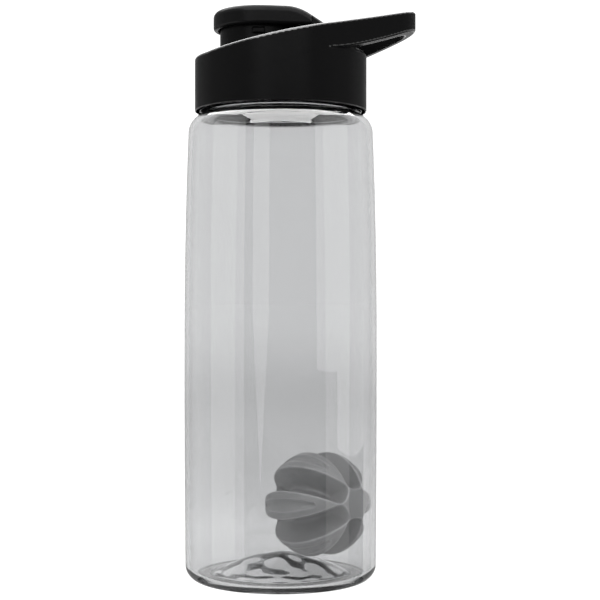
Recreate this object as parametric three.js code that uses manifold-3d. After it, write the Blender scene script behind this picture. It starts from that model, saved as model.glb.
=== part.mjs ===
// A protein shaker bottle: a clear bottle with a screw-on lid, a carry loop, a flip cap over the
// spout, and a loose ribbed mixing ball. Millimetres, +Z up, standing on Z = 0.
// Each piece is built about the bottle's own axis. The last lines move the whole object so that
// the origin lies under the middle of its footprint, which the carry loop makes longer on +X.

import * as THREE from 'three';
import { mergeVertices } from 'three/addons/utils/BufferGeometryUtils.js';
import Module from 'manifold-3d';

const wasm = await Module();
wasm.setup();

// ---- Driving dimensions ----

const gap = 0.3; // between pieces that touch
const pinPlay = 0.15; // round the hinge pin
const aroundSegments = 48;

const bottle = {
  radius: 38.1, // at its widest
  widestHeight: 95,
  footTaper: 0.4, // how much narrower it is at the foot
  shoulderTaper: 1.9, // how much narrower it is at the shoulder
  wall: 1.8,
  shoulderHeight: 183.4,
  shoulderRound: 7, // less where the neck leaves less room
  footInset: 5.7, // from the wall to the outer edge of the ring it stands on
  footRingWidth: 5.4,
  heelHeight: 6,
  floor: 1.9,
  pushUp: 8.5, // rise of the dome in the middle of the base
};

const neck = {
  bore: 26.4, // inner radius
  wall: 2.4,
  lip: 0.3, // above the thread
};

const thread = {
  pitch: 6,
  ridge: 1.9, // radius of the round ridge
  turns: 1.2,
  lead: 0.3, // of skirt below the lid's ridge
};

const lid = {
  skirtWall: 2.3,
  skirtPlay: 0.9, // between the bottle's thread and the skirt
  skirtGap: 0.5, // under the skirt
  deckThickness: 2.7, // at the front, where the deck is lowest
  deckRise: 4.4, // from front to back
  backRound: 2.5,
  plugWall: 1.8,
  plugDepth: 3.3,
};

const gasket = {
  thickness: 1.2,
};

const rim = {
  width: 4.6, // also the carry loop's band
  lip: 1.8, // above the deck at the front
  frontFlat: 5.9, // level stretch before it starts to climb
  frontSlope: 0.7, // of its average slope
  backSlope: 1.2, // of its average slope
};

const loop = {
  length: 19.4, // beyond the skirt
  tipRadius: 13,
  tipRise: 20.2, // above the deck at the front
  tipThickness: 7.6,
  rootInset: 13.9, // inside the skirt, where the underside of the band starts to climb
  rootDepth: 1.6, // of that start, below the deck
  rootSlope: 0.4, // of the underside's average slope
  tipSlope: 1.3, // of the underside's average slope
};

const spout = {
  forward: 8.4, // its axis, in front of the bottle's
  radius: 15.6,
  wall: 2.2,
  height: 16.5, // above the deck at the front
  bumpWidth: 4.6,
  bumpHeight: 2,
  bumpOut: 0.5,
  bumpBelowCap: 1.2,
};

const cap = {
  overhang: 2.6, // outside the spout
  wall: 1.8,
  topWall: 2,
  spoutCover: 3.8, // how far the skirt reaches down over the spout
  topRound: 2.4,
  lowerRound: 1.2,
  bendLength: 5, // each side of the bend where the top starts to slope down
  rearHalfWidth: 14,
  rearSlope: 32, // degrees
};

const hinge = {
  behindSpout: 9.3, // from the spout's wall to the pin's axis
  knuckleRadius: 4.6,
  deckPlay: 0.9, // under the knuckle
  earWall: 2.1, // round the pin
  earWidth: 3,
  pinRadius: 1.5,
};

const seal = {
  flange: 1.4,
  plugDepth: 2.4,
  plugPlay: 1,
  plugTaper: 1.2,
};

const ball = {
  radius: 21,
  ribs: 6,
  valleyDepth: 8.8,
  valleyHalfWidth: 5.3,
  valleyEnd: 74, // degrees from the ball's equator
  valleyEndRound: 4.3,
  grooveDepth: 0.9,
  grooveHalfWidth: 2.7,
  grooveEnd: 41, // degrees from the ball's equator
  heading: -45, // degrees, where the ball's pole points
  roll: 32, // degrees, about that pole
  tilt: -8.2, // degrees, how far it has rolled over towards -Y
};

// ---- Sizes that follow from them ----

const neckOuter = neck.bore + neck.wall;
const skirtInner = neckOuter + thread.ridge + lid.skirtPlay;
const lidRadius = skirtInner + lid.skirtWall;
const skirtBottom = bottle.shoulderHeight + lid.skirtGap;
const lidRidgeStart = skirtBottom + thread.lead + thread.ridge;
const neckRidgeStart = lidRidgeStart + thread.pitch / 2;
const neckTop = neckRidgeStart + thread.pitch * thread.turns + thread.ridge + neck.lip;
const gasketBottom = neckTop + gap;
const lidUnderside = gasketBottom + gasket.thickness + gap;
const deckFront = lidUnderside + lid.deckThickness;
const deckBack = deckFront + lid.deckRise;
const rimFront = deckFront + rim.lip;
const loopReach = lidRadius + loop.length;
const loopTipX = loopReach - loop.tipRadius;
const loopTop = deckFront + loop.tipRise;
const spoutX = -spout.forward;
const spoutTop = deckFront + spout.height;
const spoutBore = spout.radius - spout.wall;
const capRadius = spout.radius + cap.overhang;
const capBottom = spoutTop - cap.spoutCover;
const sealBottom = spoutTop + gap;
const capCeiling = sealBottom + seal.flange + gap;
const capTop = capCeiling + cap.topWall;
const hingeX = spoutX + spout.radius + hinge.behindSpout;
const hingeZ = deckHeightAt(hingeX) + hinge.deckPlay + hinge.knuckleRadius;
const earRadius = hinge.pinRadius + hinge.earWall;
const earOuterFace = cap.rearHalfWidth + gap + hinge.earWidth;
const footRadius = bottle.radius - bottle.footInset;
const domeFoot = footRadius - bottle.footRingWidth; // where the dome starts, inside the ring
const ballX = innerRadiusAt(bottle.floor + ball.radius) - ball.radius - gap;
const ballZ = restingHeight();

// The sloping deck's height at a place along X.
function deckHeightAt(x) {
  const share = (x + lidRadius) / (2 * lidRadius);
  return deckFront + lid.deckRise * share;
}

// The bottle's outer radius, slightly barrel shaped, at a height.
function outerRadiusAt(z) {
  const below = z < bottle.widestHeight;
  const span = below ? bottle.widestHeight : bottle.shoulderHeight - bottle.widestHeight;
  const share = (z - bottle.widestHeight) / span;
  const taper = below ? bottle.footTaper : bottle.shoulderTaper;
  return bottle.radius - taper * share * share;
}

function innerRadiusAt(z) {
  return outerRadiusAt(z) - bottle.wall;
}

// The dome's height, as a share of its rise, at a share of its radius.
function domeShape(share) {
  return 1 - share ** 1.5;
}

// The height of the ball's centre where it leans on the wall and lies on the dome.
function restingHeight() {
  const seat = ball.radius + gap;
  let height = bottle.floor + seat;
  for (let r = 0; r <= domeFoot; r += domeFoot / 40) {
    const drop = Math.abs(r - ballX);
    const floorZ = bottle.floor + bottle.pushUp * domeShape(r / domeFoot);
    if (drop < seat) height = Math.max(height, floorZ + Math.sqrt(seat * seat - drop * drop));
  }
  return height;
}

// ---- Geometry helpers ----

// A three.js geometry as a solid: only positions, shared corners merged, flat triangles dropped.
function toSolid(geometry) {
  const bare = geometry.clone();
  bare.deleteAttribute('normal');
  bare.deleteAttribute('uv');
  const merged = mergeVertices(bare, 1e-4);
  const corners = merged.index.array;
  const kept = [];
  for (let i = 0; i < corners.length; i += 3) {
    const [a, b, c] = [corners[i], corners[i + 1], corners[i + 2]];
    if (a !== b && b !== c && c !== a) kept.push(a, b, c);
  }
  const mesh = new wasm.Mesh({
    numProp: 3,
    vertProperties: new Float32Array(merged.attributes.position.array),
    triVerts: new Uint32Array(kept),
  });
  return new wasm.Manifold(mesh);
}

function toGeometry(solid) {
  const mesh = solid.getMesh();
  const geometry = new THREE.BufferGeometry();
  geometry.setAttribute('position', new THREE.BufferAttribute(mesh.vertProperties, 3));
  geometry.setIndex(new THREE.BufferAttribute(mesh.triVerts, 1));
  geometry.computeVertexNormals();
  return geometry;
}

// A profile of [radius, height] points turned about Z.
function revolve(points, segments = aroundSegments) {
  const profile = points.map(([r, z]) => new THREE.Vector2(r, z));
  const geometry = new THREE.LatheGeometry(profile, segments);
  return geometry.rotateX(Math.PI / 2);
}

// Points along an arc, from one angle to another in degrees.
function arc(centreR, centreZ, radius, from, to, steps) {
  const points = [];
  for (let i = 0; i <= steps; i += 1) {
    const angle = THREE.MathUtils.degToRad(from + ((to - from) * i) / steps);
    points.push([centreR + radius * Math.cos(angle), centreZ + radius * Math.sin(angle)]);
  }
  return points;
}

// A plan shape carried up from one height to another, with its edges rounded if asked.
function raise(shape, low, high, curveSegments = 16, round = 0) {
  const geometry = new THREE.ExtrudeGeometry(shape, {
    depth: high - low - 2 * round,
    bevelEnabled: round > 0,
    bevelThickness: round,
    bevelSize: round,
    bevelOffset: -round,
    bevelSegments: 3,
    curveSegments,
  });
  return geometry.translate(0, 0, low + round);
}

// A side view shape, drawn with X along and Z up, carried across Y.
function carryAcross(shape, halfWidth, middle = 0, curveSegments = 12) {
  const geometry = new THREE.ExtrudeGeometry(shape, {
    depth: 2 * halfWidth,
    bevelEnabled: false,
    curveSegments,
  });
  return geometry.rotateX(Math.PI / 2).translate(0, middle + halfWidth, 0);
}

function rod(radius, low, high, x, segments = aroundSegments) {
  const geometry = new THREE.CylinderGeometry(radius, radius, high - low, segments);
  return geometry.rotateX(Math.PI / 2).translate(x, 0, (low + high) / 2);
}

// A rod along Y, for the hinge.
function crossRod(radius, halfLength, segments = 24) {
  const geometry = new THREE.CylinderGeometry(radius, radius, 2 * halfLength, segments);
  return geometry.translate(hingeX, 0, hingeZ);
}

// The right-handed path of a thread's ridge.
class Helix extends THREE.Curve {
  constructor(radius, startHeight) {
    super();
    this.radius = radius;
    this.startHeight = startHeight;
  }

  getPoint(t, target = new THREE.Vector3()) {
    const angle = 2 * Math.PI * thread.turns * t;
    const height = this.startHeight + thread.pitch * thread.turns * t;
    return target.set(this.radius * Math.cos(angle), this.radius * Math.sin(angle), height);
  }
}

function threadRidge(radius, startHeight) {
  const section = new THREE.Shape().absarc(0, 0, thread.ridge, 0, 2 * Math.PI);
  return new THREE.ExtrudeGeometry(section, {
    extrudePath: new Helix(radius, startHeight),
    steps: Math.round(28 * thread.turns),
    curveSegments: 4,
    bevelEnabled: false,
  });
}

// The outline of a large circle about the bottle's axis and a small one at the loop's tip, with
// the two straight lines that touch both.
function loopOutline(bigRadius, smallRadius) {
  const lean = Math.acos((bigRadius - smallRadius) / loopTipX);
  const shape = new THREE.Shape();
  shape.absarc(0, 0, bigRadius, lean, 2 * Math.PI - lean, false);
  shape.absarc(loopTipX, 0, smallRadius, -lean, lean, false);
  return shape;
}

// ---- Bottle ----

// The shoulder's curve and the neck above it, at a distance inside the outer surface.
function shoulderAndNeck(inset) {
  const wallR = outerRadiusAt(bottle.shoulderHeight - bottle.shoulderRound) - inset;
  const neckR = neckOuter - (inset > 0 ? neck.wall : 0);
  const top = bottle.shoulderHeight - inset;
  const round = Math.min(Math.max(bottle.shoulderRound - inset, 1), wallR - neckR - 0.1);
  return [...arc(wallR - round, top - round, round, 0, 90, 4), [neckR, top], [neckR, neckTop]];
}

function bottleProfile() {
  const outside = [];
  const inside = [];
  for (let i = 0; i <= 5; i += 1) {
    const share = i / 5;
    const rise = bottle.pushUp * domeShape(share);
    outside.push([domeFoot * share, rise]);
    inside.push([(domeFoot + bottle.floor / 2) * share, bottle.floor + rise]);
  }
  outside.push(...heel(footRadius, 0, 0));
  inside.push(...heel(footRadius - bottle.floor, bottle.floor, bottle.wall));
  for (const share of [0.2, 0.5, 0.7, 0.87]) {
    const z = share * bottle.shoulderHeight;
    outside.push([outerRadiusAt(z), z]);
    inside.push([innerRadiusAt(z), z]);
  }
  outside.push(...shoulderAndNeck(0));
  inside.push(...shoulderAndNeck(bottle.wall));
  return [...outside, ...inside.reverse()];
}

// The round heel between the foot and the wall, drawn at a distance inside the outer one.
function heel(footR, footZ, inset) {
  const points = [];
  const wallR = outerRadiusAt(bottle.heelHeight) - inset;
  for (let i = 0; i <= 4; i += 1) {
    const angle = (Math.PI / 2) * (i / 4);
    const r = footR + (wallR - footR) * Math.sin(angle);
    const z = footZ + (bottle.heelHeight - footZ) * (1 - Math.cos(angle));
    points.push([r, z]);
  }
  return points;
}

function makeBottle() {
  const body = toSolid(revolve(bottleProfile()));
  return toGeometry(body.add(toSolid(threadRidge(neckOuter, neckRidgeStart))));
}

// ---- Lid ----

function makeCollar() {
  const plugOuter = neck.bore - gap;
  const plugInner = plugOuter - lid.plugWall;
  const plugBottom = lidUnderside - lid.plugDepth;
  const top = deckBack;
  return toSolid(
    revolve([
      [0, lidUnderside],
      [plugInner, lidUnderside],
      [plugInner, plugBottom],
      [plugOuter, plugBottom],
      [plugOuter, lidUnderside],
      [skirtInner, lidUnderside],
      [skirtInner, skirtBottom],
      [lidRadius, skirtBottom],
      ...arc(lidRadius - lid.backRound, top - lid.backRound, lid.backRound, 0, 90, 4),
      [0, top],
    ]),
  );
}

// Everything below the sloping deck, seen from the side.
function belowDeck() {
  const far = lidRadius + 5;
  const shape = new THREE.Shape();
  shape.moveTo(-far, skirtBottom - 5);
  shape.lineTo(far, skirtBottom - 5);
  shape.lineTo(far, deckHeightAt(far));
  shape.lineTo(-far, deckHeightAt(-far));
  return toSolid(carryAcross(shape, far));
}

// A curve's control point between two places, for slopes given as shares of the average one.
function controlPoint(x0, z0, x1, z1, startShare, endShare) {
  const average = (z1 - z0) / (x1 - x0);
  const x = x0 + ((x1 - x0) * (endShare - 1)) / (endShare - startShare);
  return [x, z0 + average * startShare * (x - x0)];
}

// The band seen from the side: level at the front, climbing into the carry loop.
function bandSide() {
  const startX = rim.frontFlat - lidRadius;
  const rootX = lidRadius - loop.rootInset;
  const rootZ = deckHeightAt(rootX) - loop.rootDepth;
  const lowFront = (lidUnderside + deckFront) / 2;
  const tipLow = loopTop - loop.tipThickness;
  const top = controlPoint(
    startX, rimFront, loopReach, loopTop, rim.frontSlope, rim.backSlope,
  );
  const under = controlPoint(
    rootX, rootZ, loopReach, tipLow, loop.rootSlope, loop.tipSlope,
  );
  const far = lidRadius + 5;
  const shape = new THREE.Shape();
  shape.moveTo(-far, lowFront);
  shape.lineTo(0, lowFront);
  shape.lineTo(rootX, rootZ);
  shape.quadraticCurveTo(under[0], under[1], loopReach, tipLow);
  shape.lineTo(loopReach + 5, tipLow);
  shape.lineTo(loopReach + 5, loopTop);
  shape.lineTo(loopReach, loopTop);
  shape.quadraticCurveTo(top[0], top[1], startX, rimFront);
  shape.lineTo(-far, rimFront);
  return toSolid(carryAcross(shape, far));
}

function makeBand() {
  const outer = raise(loopOutline(lidRadius, loop.tipRadius), skirtBottom, loopTop + 5);
  const inner = raise(
    loopOutline(lidRadius - rim.width, loop.tipRadius - rim.width),
    skirtBottom - 5,
    loopTop + 10,
  );
  return toSolid(outer).intersect(bandSide()).subtract(toSolid(inner));
}

function hingeEar(side) {
  const post = earRadius;
  const middle = side * (earOuterFace - hinge.earWidth / 2);
  const foot = lidUnderside + lid.deckThickness / 2;
  const shape = new THREE.Shape();
  shape.moveTo(hingeX - post, foot);
  shape.lineTo(hingeX + post, foot);
  shape.lineTo(hingeX + post, hingeZ);
  shape.absarc(hingeX, hingeZ, post, 0, Math.PI, false);
  return toSolid(carryAcross(shape, hinge.earWidth / 2, middle, 8));
}

// The small bump on each side of the spout that the cap's skirt snaps over.
function snapBump(side) {
  const middleZ = capBottom - spout.bumpBelowCap - spout.bumpHeight / 2;
  const out = spout.radius + spout.bumpOut;
  const block = new THREE.BoxGeometry(spout.bumpWidth, 2 * spout.wall, spout.bumpHeight);
  return toSolid(block.translate(spoutX, side * (out - spout.wall), middleZ));
}

function makeLid() {
  const deckMiddle = lidUnderside + lid.deckThickness / 2;
  const clearBelow = lidUnderside - lid.plugDepth - 1;
  let solid = makeCollar().intersect(belowDeck()).add(makeBand());
  solid = solid.add(toSolid(rod(spout.radius, deckMiddle, spoutTop, spoutX)));
  for (const side of [-1, 1]) {
    solid = solid.add(snapBump(side)).add(hingeEar(side));
  }
  solid = solid.subtract(toSolid(rod(spoutBore, clearBelow, spoutTop + 1, spoutX)));
  solid = solid.subtract(toSolid(crossRod(hinge.pinRadius + pinPlay, earOuterFace + gap)));
  return toGeometry(solid.add(toSolid(threadRidge(skirtInner, lidRidgeStart))));
}

// ---- Gasket, hinge pin and spout seal ----

function makeGasket() {
  const inner = neck.bore;
  const outer = skirtInner - gap;
  const low = gasketBottom;
  const high = gasketBottom + gasket.thickness;
  return revolve([[inner, low], [outer, low], [outer, high], [inner, high], [inner, low]]);
}

function makeHingePin() {
  return crossRod(hinge.pinRadius, earOuterFace - gap);
}

function makeSpoutSeal() {
  const plugTop = spoutBore - seal.plugPlay;
  const plugBottom = plugTop - seal.plugTaper;
  const flangeRadius = spout.radius - gap;
  return revolve([
    [0, sealBottom - seal.plugDepth],
    [plugBottom, sealBottom - seal.plugDepth],
    [plugTop, sealBottom],
    [flangeRadius, sealBottom],
    [flangeRadius, sealBottom + seal.flange],
    [0, sealBottom + seal.flange],
  ]).translate(spoutX, 0, 0);
}

// ---- Flip cap ----

// Round in front and narrowing straight to the hinge.
function capPlan() {
  const rearX = hingeX + hinge.knuckleRadius;
  const lean = Math.acos((capRadius - cap.rearHalfWidth) / (rearX - spoutX));
  const past = 2 * cap.topRound;
  const shape = new THREE.Shape();
  shape.absarc(spoutX, 0, capRadius, lean, 2 * Math.PI - lean, false);
  shape.lineTo(rearX, -cap.rearHalfWidth);
  shape.lineTo(rearX + past, -cap.rearHalfWidth);
  shape.lineTo(rearX + past, cap.rearHalfWidth);
  shape.lineTo(rearX, cap.rearHalfWidth);
  return shape;
}

// The cap from the side: a level top that slopes down behind to wrap round the hinge.
function capSide() {
  const frontX = spoutX - capRadius - 5;
  const slope = THREE.MathUtils.degToRad(cap.rearSlope);
  const slopeEndX = hingeX + hinge.knuckleRadius * Math.sin(slope);
  const slopeEndZ = hingeZ + hinge.knuckleRadius * Math.cos(slope);
  const bendX = slopeEndX - (capTop - slopeEndZ) / Math.tan(slope);
  const bend = cap.bendLength;
  const shape = new THREE.Shape();
  shape.moveTo(frontX, capBottom);
  shape.lineTo(hingeX - hinge.knuckleRadius, capBottom);
  shape.absarc(hingeX, hingeZ, hinge.knuckleRadius, Math.PI, 2.5 * Math.PI - slope, false);
  shape.lineTo(bendX + bend * Math.cos(slope), capTop - bend * Math.sin(slope));
  shape.quadraticCurveTo(bendX, capTop, bendX - bend, capTop);
  shape.lineTo(frontX, capTop);
  return carryAcross(shape, capRadius + 5);
}

// The plan with the round top edge, cut at the bottom by the plan with the small lower edge.
function capBlank() {
  const low = hingeZ - hinge.knuckleRadius - 10;
  const top = raise(capPlan(), low, capTop, 32, cap.topRound);
  const lower = raise(capPlan(), capBottom, capTop + 10, 32, cap.lowerRound);
  const rear = new THREE.BoxGeometry(2 * hinge.knuckleRadius, 2 * cap.rearHalfWidth, 40);
  rear.translate(hingeX, 0, capBottom);
  return toSolid(top).intersect(toSolid(lower).add(toSolid(rear)));
}

// Room beside the hinge for one of the lid's ears.
function earRoom(side) {
  const frontX = hingeX - hinge.knuckleRadius + gap;
  const width = capRadius;
  const block = new THREE.BoxGeometry(60, width, 60);
  return toSolid(block.translate(frontX + 30, side * (cap.rearHalfWidth + width / 2), hingeZ));
}

function makeFlipCap() {
  const hollow = capRadius - cap.wall;
  let solid = capBlank().intersect(toSolid(capSide()));
  solid = solid.subtract(toSolid(rod(hollow, capBottom - 20, capCeiling, spoutX)));
  for (const side of [-1, 1]) solid = solid.subtract(earRoom(side));
  const pinHole = crossRod(hinge.pinRadius + pinPlay, earOuterFace);
  return toGeometry(solid.subtract(toSolid(pinHole)));
}

// ---- Mixing ball ----

// How far inside a long, round-ended slot a place is: 1 on its middle line, 0 at its edge.
function slotDepth(along, across, halfLength, halfWidth, endRound) {
  const straight = Math.max(0, halfLength - endRound);
  const share = Math.min(1, Math.abs(along) / straight);
  const width = halfWidth + (endRound - halfWidth) * share * share;
  const past = Math.max(0, Math.abs(along) - straight);
  const reach = Math.hypot(past, across) / width;
  return Math.max(0, 1 - reach * reach);
}

// The ball's radius in a direction given by its latitude and its angle from a rib's middle.
function ballRadiusAt(latitude, fromRib) {
  const step = Math.PI / ball.ribs;
  const circle = ball.radius * Math.cos(latitude);
  const along = ball.radius * latitude;
  const valleyEnd = ball.radius * THREE.MathUtils.degToRad(ball.valleyEnd);
  const grooveEnd = ball.radius * THREE.MathUtils.degToRad(ball.grooveEnd);
  const fromValley = circle * (step - Math.abs(fromRib));
  const valley = slotDepth(
    along, fromValley, valleyEnd, ball.valleyHalfWidth, ball.valleyEndRound,
  );
  const groove = slotDepth(along, circle * fromRib, grooveEnd, ball.grooveHalfWidth, 1);
  return ball.radius - ball.valleyDepth * Math.sqrt(valley) - ball.grooveDepth * groove;
}

function makeBall() {
  const geometry = new THREE.SphereGeometry(1, 8 * ball.ribs, 30);
  geometry.rotateX(Math.PI / 2);
  const places = geometry.attributes.position;
  const point = new THREE.Vector3();
  const pitch = (2 * Math.PI) / ball.ribs;
  for (let i = 0; i < places.count; i += 1) {
    point.fromBufferAttribute(places, i).normalize();
    const latitude = Math.asin(THREE.MathUtils.clamp(point.z, -1, 1));
    const angle = Math.atan2(point.y, point.x);
    const fromRib = angle - pitch * Math.round(angle / pitch);
    point.multiplyScalar(ballRadiusAt(latitude, fromRib));
    places.setXYZ(i, point.x, point.y, point.z);
  }
  return toGeometry(toSolid(geometry));
}

// ---- The scene ----

const clearPlastic = new THREE.MeshStandardMaterial({
  color: 0xbfc1c3,
  roughness: 0.08,
  metalness: 0,
  transparent: true,
  opacity: 0.35,
});
const blackPlastic = new THREE.MeshStandardMaterial({
  color: 0x18181a,
  roughness: 0.5,
  metalness: 0,
});
const capPlastic = blackPlastic.clone();
const greyPlastic = new THREE.MeshStandardMaterial({
  color: 0x6c6c6d,
  roughness: 0.45,
  metalness: 0,
});
const silicone = new THREE.MeshStandardMaterial({
  color: 0x2c2c2e,
  roughness: 0.7,
  metalness: 0,
});
const steel = new THREE.MeshStandardMaterial({
  color: 0xb4b6b8,
  roughness: 0.3,
  metalness: 1,
});

function piece(name, geometry, material) {
  const mesh = new THREE.Mesh(geometry, material);
  mesh.name = name;
  return mesh;
}

const mixingBall = piece('mixing_ball', makeBall(), greyPlastic);
const layPoleLevel = Math.PI / 2;
mixingBall
  .rotateX(THREE.MathUtils.degToRad(ball.tilt))
  .rotateZ(THREE.MathUtils.degToRad(ball.heading))
  .rotateY(layPoleLevel)
  .rotateZ(THREE.MathUtils.degToRad(ball.roll));
mixingBall.position.set(ballX, 0, ballZ);

const group = new THREE.Group();
group.add(
  piece('bottle', makeBottle(), clearPlastic),
  piece('lid', makeLid(), blackPlastic),
  piece('lid_gasket', makeGasket(), silicone),
  piece('flip_cap', makeFlipCap(), capPlastic),
  piece('spout_seal', makeSpoutSeal(), silicone),
  piece('hinge_pin', makeHingePin(), steel),
  mixingBall,
);
group.position.x = (Math.max(bottle.radius, lidRadius) - loopReach) / 2;

export default group;
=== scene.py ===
# %% [markdown]
# # A protein shaker bottle
#
# This lesson dresses a finished mechanical model of a shaker bottle. The mechanical model gives
# the sizes, the places and the joints. Here we build the smooth, round-edged pieces that the eye
# sees, and give each one the plastic, rubber or steel it is made of.
#
# We start by loading the mechanical model. It is a fixed frame: we may hide its pieces and stand
# finer ones in their place, but we never move them.

# %% Load the frame
import math

import bpy
import numpy as np
from mathutils import Matrix, Vector


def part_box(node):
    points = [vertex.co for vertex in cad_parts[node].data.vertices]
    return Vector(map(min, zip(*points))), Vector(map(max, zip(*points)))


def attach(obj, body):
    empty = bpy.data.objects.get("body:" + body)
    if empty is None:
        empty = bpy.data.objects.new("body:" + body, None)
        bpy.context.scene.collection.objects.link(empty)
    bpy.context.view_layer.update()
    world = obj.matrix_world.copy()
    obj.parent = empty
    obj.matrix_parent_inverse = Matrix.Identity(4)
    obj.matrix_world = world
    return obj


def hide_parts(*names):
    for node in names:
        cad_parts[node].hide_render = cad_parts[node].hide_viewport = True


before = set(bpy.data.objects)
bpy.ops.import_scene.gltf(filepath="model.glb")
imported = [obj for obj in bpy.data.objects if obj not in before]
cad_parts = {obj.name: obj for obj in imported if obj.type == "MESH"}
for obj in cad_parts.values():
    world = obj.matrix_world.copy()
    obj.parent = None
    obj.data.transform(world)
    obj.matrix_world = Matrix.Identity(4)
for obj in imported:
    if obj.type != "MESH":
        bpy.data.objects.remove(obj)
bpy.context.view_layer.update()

print("nodes:", sorted(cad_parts))

# %% [markdown]
# ## Working in millimetres round the bottle's own axis
#
# The bottle is a turned shape, so its radius and height are the natural measures. The frame's
# origin lies under the middle of the whole footprint, and the carry loop pushes that off the
# bottle's axis. We could carry that offset through every formula, but it is simpler to model
# round the axis in millimetres and to convert once, when a mesh is made.

# %% Measure the frame
MM = 0.001
AXIS_X = (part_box("bottle")[0].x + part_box("bottle")[1].x) / 2


def measured(node):
    """Lowest and highest corner of a CAD node in millimetres, with X from the bottle's axis."""
    low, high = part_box(node)
    shift = Vector((AXIS_X, 0, 0))
    return (low - shift) / MM, (high - shift) / MM


_, bottle_high = measured("bottle")
lid_low, lid_high = measured("lid")
cap_low, cap_high = measured("flip_cap")
seal_low, seal_high = measured("spout_seal")
gasket_low, gasket_high = measured("lid_gasket")
pin_low, pin_high = measured("hinge_pin")
print("bottle radius", round(bottle_high.y, 2), "neck top", round(bottle_high.z, 2))
print("lid radius", round(lid_high.y, 2), "loop reaches", round(lid_high.x, 2))

# %% [markdown]
# ## Shader arithmetic
#
# A material in Blender is a net of nodes. Placed by hand, even "one minus the mask, times a
# half" takes three nodes and four wires. A small class that wraps a socket lets us write it as
# `(1 - mask) * 0.5`: each operator adds the Math node for us.

# %% A socket that can be added and multiplied


class Wire:
    """One output socket of a node, which stands for a number, a vector or a colour."""

    def __init__(self, finish, socket):
        self.finish = finish
        self.socket = socket

    def math(self, operation, first, second=0.0):
        settings = {"operation": operation}
        return self.finish.node("ShaderNodeMath", settings, {0: first, 1: second})

    def __add__(self, other):
        return self.math("ADD", self, other)

    def __radd__(self, other):
        return self.math("ADD", other, self)

    def __sub__(self, other):
        return self.math("SUBTRACT", self, other)

    def __rsub__(self, other):
        return self.math("SUBTRACT", other, self)

    def __mul__(self, other):
        return self.math("MULTIPLY", self, other)

    def __rmul__(self, other):
        return self.math("MULTIPLY", other, self)

    def __truediv__(self, other):
        return self.math("DIVIDE", self, other)

    def __rtruediv__(self, other):
        return self.math("DIVIDE", other, self)


print("a wire knows +, -, * and /, from either side")

# %% [markdown]
# ## One finish, one small object
#
# Each material is one Principled shader. What is the same all over the piece is set straight on
# the shader's sockets. What changes over the surface, such as grain or scuffs, is wired in. The
# same few helpers serve every plastic on the bottle: a mask that fades between two values, noise
# in real millimetres, a colour mix, and a bump.

# %% The finish builder


class Finish:
    """A material with one Principled shader and short calls for the nodes that feed it."""

    def __init__(self, name, **constants):
        self.material = bpy.data.materials.new(name)
        self.material.use_nodes = True
        self.tree = self.material.node_tree
        self.tree.nodes.clear()
        self.shader = self.tree.nodes.new("ShaderNodeBsdfPrincipled")
        self.output = self.tree.nodes.new("ShaderNodeOutputMaterial")
        self.tree.links.new(self.shader.outputs[0], self.output.inputs["Surface"])
        for socket, value in constants.items():
            self.shader.inputs[socket.replace("_", " ")].default_value = value
        self.place = self.node("ShaderNodeTexCoord", output="Object")

    def node(self, kind, settings=None, inputs=None, output=0):
        """Adds a node: its settings first, then its sockets' values or wires."""
        made = self.tree.nodes.new(kind)
        for key, value in (settings or {}).items():
            setattr(made, key, value)
        for key, value in (inputs or {}).items():
            self.join(made.inputs[key], value)
        return Wire(self, made.outputs[output])

    def join(self, socket, value):
        """Gives a socket a wire or a plain value."""
        if isinstance(value, Wire):
            self.tree.links.new(value.socket, socket)
        else:
            socket.default_value = value

    def feed(self, socket, value):
        """Gives the shader's own socket a wire or a plain value."""
        self.join(self.shader.inputs[socket], value)

    def fade(self, value, low, high, at_low=0.0, at_high=1.0):
        """Goes smoothly from at_low to at_high as value goes from low to high."""
        settings = {"interpolation_type": "SMOOTHSTEP"}
        inputs = {"Value": value, "From Min": low, "From Max": high}
        inputs.update({"To Min": at_low, "To Max": at_high})
        return self.node("ShaderNodeMapRange", settings, inputs)

    def stretched(self, x, y, z):
        """The place on the piece, stretched, so that noise comes out longer one way."""
        settings = {"operation": "MULTIPLY"}
        inputs = {0: self.place, 1: (x, y, z)}
        return self.node("ShaderNodeVectorMath", settings, inputs)

    def noise(self, grain_mm, detail=2.0, roughness=0.5, where=None):
        """Smooth noise, about 0 to 1, whose blobs are grain_mm across."""
        inputs = {"Vector": where or self.place, "Scale": 1 / (grain_mm * MM)}
        inputs.update({"Detail": detail, "Roughness": roughness})
        return self.node("ShaderNodeTexNoise", {"noise_dimensions": "3D"}, inputs)

    def mix(self, share, first, second):
        """Two colours mixed: the first at share 0, the second at share 1."""
        settings = {"data_type": "RGBA", "blend_type": "MIX"}
        ends = [c if isinstance(c, Wire) else (*c, 1) for c in (first, second)]
        inputs = {0: share, 6: ends[0], 7: ends[1]}
        return self.node("ShaderNodeMix", settings, inputs, output=2)

    def height(self):
        """How high a place is above the surface that the bottle stands on, in millimetres."""
        return self.node("ShaderNodeSeparateXYZ", None, {0: self.place}, output="Z") / MM

    def bump(self, relief, depth_mm, strength=1.0):
        """Tilts the light as if a relief of 0 to 1 were that many millimetres deep."""
        inputs = {"Height": relief, "Distance": depth_mm * MM, "Strength": strength}
        self.feed("Normal", self.node("ShaderNodeBump", None, inputs))


print("finish builder ready")

# %% [markdown]
# ## Putting a mesh into the scene
#
# Every piece below is worked out as two arrays: points in millimetres and faces that list them.
# This helper turns them into a Blender mesh in metres, shades it smooth, gives it its material,
# hangs it on the empty of the body that it rides on, and hides the CAD nodes that it stands for. A
# piece may bring its own normals, and a number for each point that says how sharp the edge is
# there, which a finish can read as the attribute "edge".

# %% The piece maker


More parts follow.
